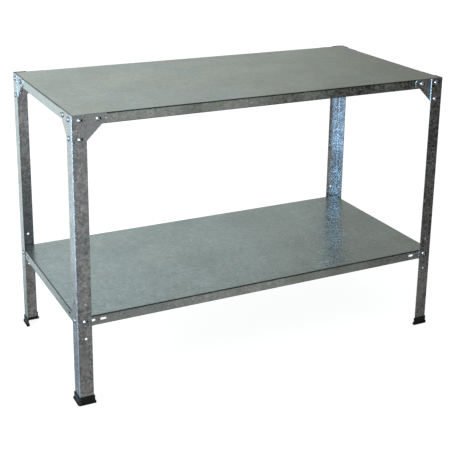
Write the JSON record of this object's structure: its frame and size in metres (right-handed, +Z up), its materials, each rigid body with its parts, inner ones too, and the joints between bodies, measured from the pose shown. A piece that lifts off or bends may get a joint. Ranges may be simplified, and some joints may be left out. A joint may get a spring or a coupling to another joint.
{
  "type": "potting bench",
  "caption": "Bolt-together galvanised steel potting bench: angle legs, flat worktop and lower shelf with folded-down edges, triangular corner plates and black plastic feet.",
  "frame": {"origin": "on the floor, under the middle of the bench", "axes": "+X along the bench's length, to the right seen from the front; +Y across it, from front to back; +Z up"},
  "size_m": [1.17, 0.57, 0.8125],
  "materials": {
    "pan_steel": "galvanised sheet, fine spangle, satin",
    "leg_steel": "galvanised sheet, coarse spangle, satin",
    "plate_steel": "galvanised sheet, smooth, satin",
    "bolt_zinc": "bright zinc plate",
    "foot_plastic": "moulded, satin black"
  },
  "bodies": {
    "root": {"worktop_pan": "pan_steel", "lower_shelf_pan": "pan_steel", "front_left_leg": "leg_steel", "front_left_foot": "foot_plastic", "front_left_front_corner_plate": "plate_steel", "front_left_front_upper_bolt": "bolt_zinc", "front_left_front_plate_bolt": "bolt_zinc", "front_left_front_lip_bolt": "bolt_zinc", "front_left_front_shelf_bolt": "bolt_zinc", "front_left_left_corner_plate": "plate_steel", "front_left_left_upper_bolt": "bolt_zinc", "front_left_left_plate_bolt": "bolt_zinc", "front_left_left_lip_bolt": "bolt_zinc", "front_left_left_shelf_bolt": "bolt_zinc", "front_right_leg": "leg_steel", "front_right_foot": "foot_plastic", "front_right_right_corner_plate": "plate_steel", "front_right_right_upper_bolt": "bolt_zinc", "front_right_right_plate_bolt": "bolt_zinc", "front_right_right_lip_bolt": "bolt_zinc", "front_right_right_shelf_bolt": "bolt_zinc", "front_right_front_corner_plate": "plate_steel", "front_right_front_upper_bolt": "bolt_zinc", "front_right_front_plate_bolt": "bolt_zinc", "front_right_front_lip_bolt": "bolt_zinc", "front_right_front_shelf_bolt": "bolt_zinc", "back_right_leg": "leg_steel", "back_right_foot": "foot_plastic", "back_right_back_corner_plate": "plate_steel", "back_right_back_upper_bolt": "bolt_zinc", "back_right_back_plate_bolt": "bolt_zinc", "back_right_back_lip_bolt": "bolt_zinc", "back_right_back_shelf_bolt": "bolt_zinc", "back_right_right_corner_plate": "plate_steel", "back_right_right_upper_bolt": "bolt_zinc", "back_right_right_plate_bolt": "bolt_zinc", "back_right_right_lip_bolt": "bolt_zinc", "back_right_right_shelf_bolt": "bolt_zinc", "back_left_leg": "leg_steel", "back_left_foot": "foot_plastic", "back_left_left_corner_plate": "plate_steel", "back_left_left_upper_bolt": "bolt_zinc", "back_left_left_plate_bolt": "bolt_zinc", "back_left_left_lip_bolt": "bolt_zinc", "back_left_left_shelf_bolt": "bolt_zinc", "back_left_back_corner_plate": "plate_steel", "back_left_back_upper_bolt": "bolt_zinc", "back_left_back_plate_bolt": "bolt_zinc", "back_left_back_lip_bolt": "bolt_zinc", "back_left_back_shelf_bolt": "bolt_zinc"}
  },
  "joints": []
}
